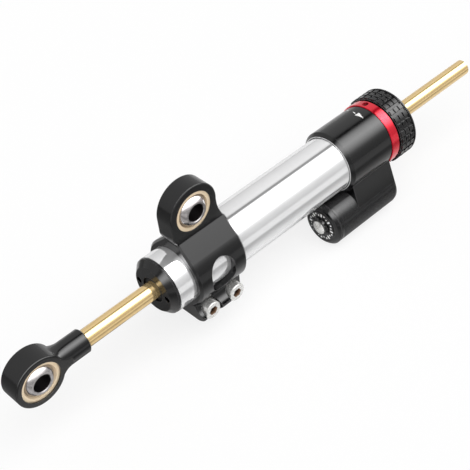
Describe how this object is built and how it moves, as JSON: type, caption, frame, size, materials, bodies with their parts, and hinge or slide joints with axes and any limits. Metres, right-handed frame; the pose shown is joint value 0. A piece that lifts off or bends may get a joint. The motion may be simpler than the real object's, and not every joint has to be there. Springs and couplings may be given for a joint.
{
  "type": "motorcycle steering damper",
  "caption": "Through-rod steering damper with a split clamp, spherical bearing eyes, a side oil chamber and a knurled damping adjuster.",
  "frame": {"origin": "centre of the spherical bearing in the clamp's lug", "axes": "+X along the rod from rod end to adjuster knob, +Z from the rod up to the clamp's bearing, Y along the bearing's bore"},
  "size_m": [0.2837, 0.0368, 0.0776],
  "materials": {
    "black_anodised": "satin black anodised",
    "silver_anodised": "polished and clear anodised",
    "gold_rod": "ground, polished and gold nitride coated",
    "red_anodised": "satin red anodised",
    "bearing_brass": "turned",
    "bronze": "sintered",
    "bearing_chrome": "ball bearing polish",
    "zinc_steel": "bright zinc plated",
    "spring_steel": "oiled",
    "black_steel": "black oxide",
    "piston_metal": "hard anodised",
    "seal_rubber": "smooth",
    "piston_plastic": "smooth bearing plastic",
    "dial_print": "printed scale"
  },
  "bodies": {
    "clamp": {"clamp_body": "black_anodised", "clamp_race": "bearing_brass", "clamp_screws": "zinc_steel"},
    "clamp_pivot": {"clamp_ball": "bearing_chrome"},
    "barrel": {"barrel_tube": "silver_anodised", "inner_cylinder": "silver_anodised", "front_cap": "black_anodised", "front_o_ring": "seal_rubber", "front_bush": "bronze", "front_rod_seal": "seal_rubber", "front_wiper": "seal_rubber", "rear_housing": "black_anodised", "rear_bush": "bronze", "rear_rod_seal": "seal_rubber", "rear_wiper": "seal_rubber", "tube_o_ring": "seal_rubber", "knob_circlip": "spring_steel", "detent_ball": "bearing_chrome", "detent_spring": "spring_steel", "reservoir_cap": "black_anodised", "cap_o_ring": "seal_rubber", "dial_plate": "dial_print", "valve_seat": "bronze"},
    "adjuster": {"adjuster_knob": "black_anodised", "indicator_ring": "red_anodised", "ring_grub_screw": "black_steel", "metering_ring": "piston_metal", "metering_o_ring": "seal_rubber", "drive_pins": "spring_steel"},
    "chamber_dial": {"dial_knob": "black_anodised", "dial_screw": "zinc_steel", "needle": "spring_steel"},
    "chamber_piston": {"floating_piston": "piston_metal", "floating_o_ring": "seal_rubber"},
    "piston_seal": {"piston_ring": "piston_plastic"},
    "rod": {"damper_rod": "gold_rod", "piston": "piston_metal", "piston_circlips": "spring_steel", "rod_end_housing": "black_anodised", "rod_end_race": "bearing_brass"},
    "rod_pivot": {"rod_end_ball": "bearing_chrome"}
  },
  "joints": [
    {"name": "clamp_ball_swivel", "type": "hinge", "parent": "clamp", "child": "clamp_pivot", "pos_m": [0, 0, 0], "axis": [0, 1, 0], "continuous": true},
    {"name": "tube_slide", "type": "slide", "parent": "clamp", "child": "barrel", "axis": [1, 0, 0], "range_m": [-0.05, 0.008]},
    {"name": "adjuster_turn", "type": "hinge", "parent": "barrel", "child": "adjuster", "pos_m": [0, 0, -0.03082], "axis": [1, 0, 0], "range_deg": [-135, 135]},
    {"name": "chamber_dial_turn", "type": "hinge", "parent": "barrel", "child": "chamber_dial", "pos_m": [0, -0.00876, -0.05424], "axis": [1, 0, 0], "range_deg": [-90, 180]},
    {"name": "chamber_piston_slide", "type": "slide", "parent": "barrel", "child": "chamber_piston", "axis": [1, 0, 0], "range_m": [-0.002, 0.002]},
    {"name": "rod_slide", "type": "slide", "parent": "barrel", "child": "piston_seal", "axis": [1, 0, 0], "range_m": [-0.041, 0.034]},
    {"name": "rod_spin", "type": "hinge", "parent": "piston_seal", "child": "rod", "pos_m": [0, 0, -0.03082], "axis": [1, 0, 0], "continuous": true},
    {"name": "rod_ball_swivel", "type": "hinge", "parent": "rod", "child": "rod_pivot", "pos_m": [-0.0854, 0, -0.03082], "axis": [0, 1, 0], "continuous": true}
  ]
}
